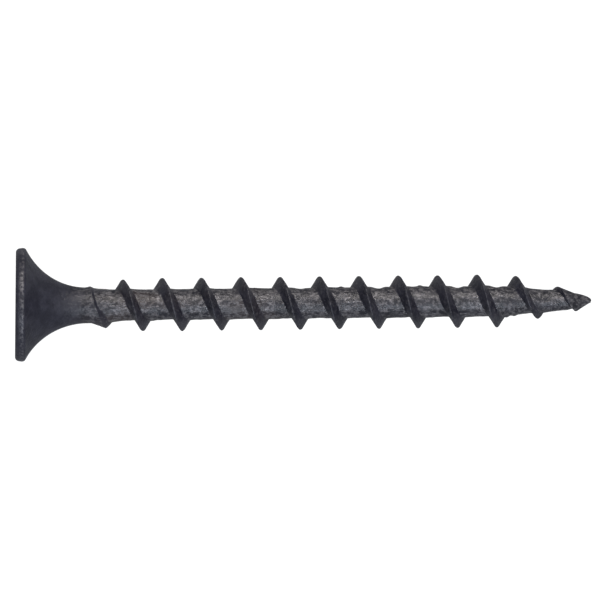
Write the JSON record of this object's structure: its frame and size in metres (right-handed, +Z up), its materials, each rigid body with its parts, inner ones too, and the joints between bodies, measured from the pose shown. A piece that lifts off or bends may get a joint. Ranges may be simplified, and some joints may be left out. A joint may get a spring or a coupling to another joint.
{
  "type": "wood screw",
  "caption": "Black bugle-head wood screw with a coarse right-hand thread, a cross recess in its flat face and a gimlet point.",
  "frame": {"origin": "centre of the head's flat face, on the screw's axis", "axes": "+X along the screw's axis from the head to the point, +Z up, +Y across; the screw lies on its side"},
  "size_m": [0.041, 0.0082, 0.0082],
  "materials": {
    "phosphated_steel": "black phosphate, satin"
  },
  "bodies": {
    "root": {"bugle_head": "phosphated_steel", "neck": "phosphated_steel", "core": "phosphated_steel", "thread": "phosphated_steel", "gimlet_point": "phosphated_steel"}
  },
  "joints": []
}
